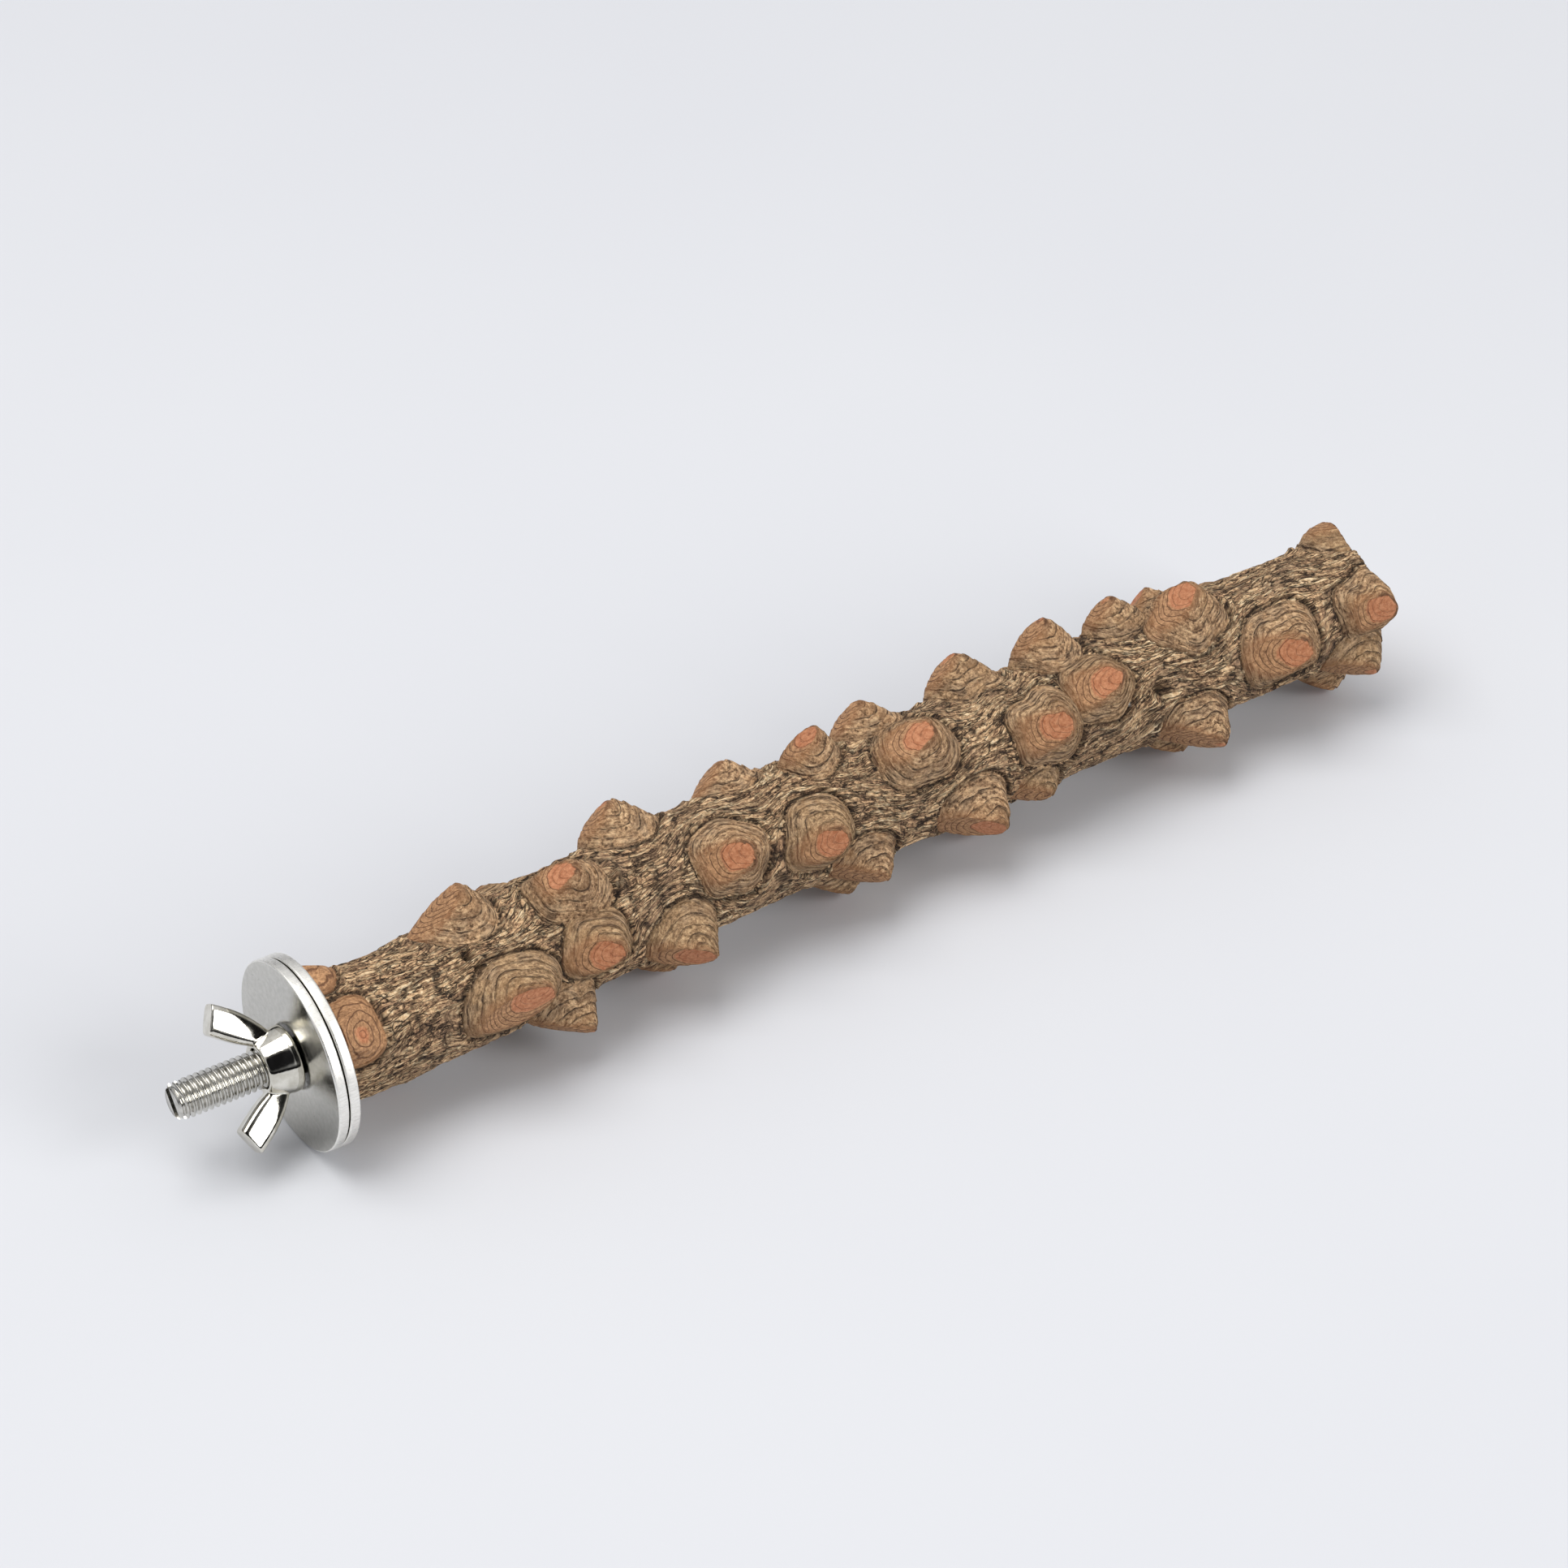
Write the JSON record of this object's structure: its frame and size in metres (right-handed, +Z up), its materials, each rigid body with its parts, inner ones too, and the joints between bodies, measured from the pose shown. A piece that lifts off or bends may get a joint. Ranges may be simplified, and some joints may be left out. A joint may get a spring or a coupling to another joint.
{
  "type": "bird perch",
  "caption": "Natural branch covered in sanded cork knobs, with a hanger bolt, penny washers and a wing nut that clamp its end between the bars of a cage.",
  "frame": {"origin": "on the bolt axis at the clamp plane, the front face of the rear washer, where the cage bars sit", "axes": "+X along the branch away from the bolt tip, +Z up as it lies in the picture, +Y completes the frame"},
  "size_m": [0.219, 0.0394, 0.031],
  "materials": {
    "bolt_steel": "bright zinc, rolled thread",
    "washer_steel": "bright, barrel polished",
    "nut_plating": "bright nickel",
    "wood": "sawn end grain",
    "bark": "rough furrowed bark",
    "cork": "ringed cork with a sanded orange flat"
  },
  "bodies": {
    "perch": {"wood_core": "wood", "bark": "bark", "hanger_bolt": "bolt_steel", "knob_01": "cork", "knob_02": "cork", "knob_03": "cork", "knob_04": "cork", "knob_05": "cork", "knob_06": "cork", "knob_07": "cork", "knob_08": "cork", "knob_09": "cork", "knob_10": "cork", "knob_11": "cork", "knob_12": "cork", "knob_13": "cork", "knob_14": "cork", "knob_15": "cork", "knob_16": "cork", "knob_17": "cork", "knob_18": "cork", "knob_19": "cork", "knob_20": "cork", "knob_21": "cork", "knob_22": "cork", "knob_23": "cork", "knob_24": "cork", "knob_25": "cork", "knob_26": "cork", "knob_27": "cork", "knob_28": "cork", "knob_29": "cork", "knob_30": "cork", "knob_31": "cork", "knob_32": "cork", "knob_33": "cork", "knob_34": "cork", "knob_35": "cork", "knob_36": "cork", "knob_37": "cork", "knob_38": "cork", "knob_39": "cork", "knob_40": "cork", "knob_41": "cork", "knob_42": "cork", "knob_43": "cork", "knob_44": "cork", "knob_45": "cork", "knob_46": "cork", "knob_47": "cork", "knob_48": "cork", "knob_49": "cork"},
    "rear_washer": {"rear_washer": "washer_steel"},
    "front_washer": {"front_washer": "washer_steel"},
    "wing_nut": {"wing_nut": "nut_plating"}
  },
  "joints": [
    {"name": "rear_washer_spin", "type": "hinge", "parent": "perch", "child": "rear_washer", "pos_m": [0, 0, 0], "axis": [-1, 0, 0], "continuous": true},
    {"name": "front_washer_slide", "type": "slide", "parent": "perch", "child": "front_washer", "axis": [-1, 0, 0], "range_m": [0, 0.014]},
    {"name": "wing_nut_spin", "type": "hinge", "parent": "front_washer", "child": "wing_nut", "pos_m": [-0.00195, 0, 0], "axis": [-1, 0, 0], "range_deg": [0, 5045]}
  ],
  "couplings": [
    {"joint": "wing_nut_spin", "follows": "front_washer_slide", "rad_per_m": 6283.2}
  ]
}
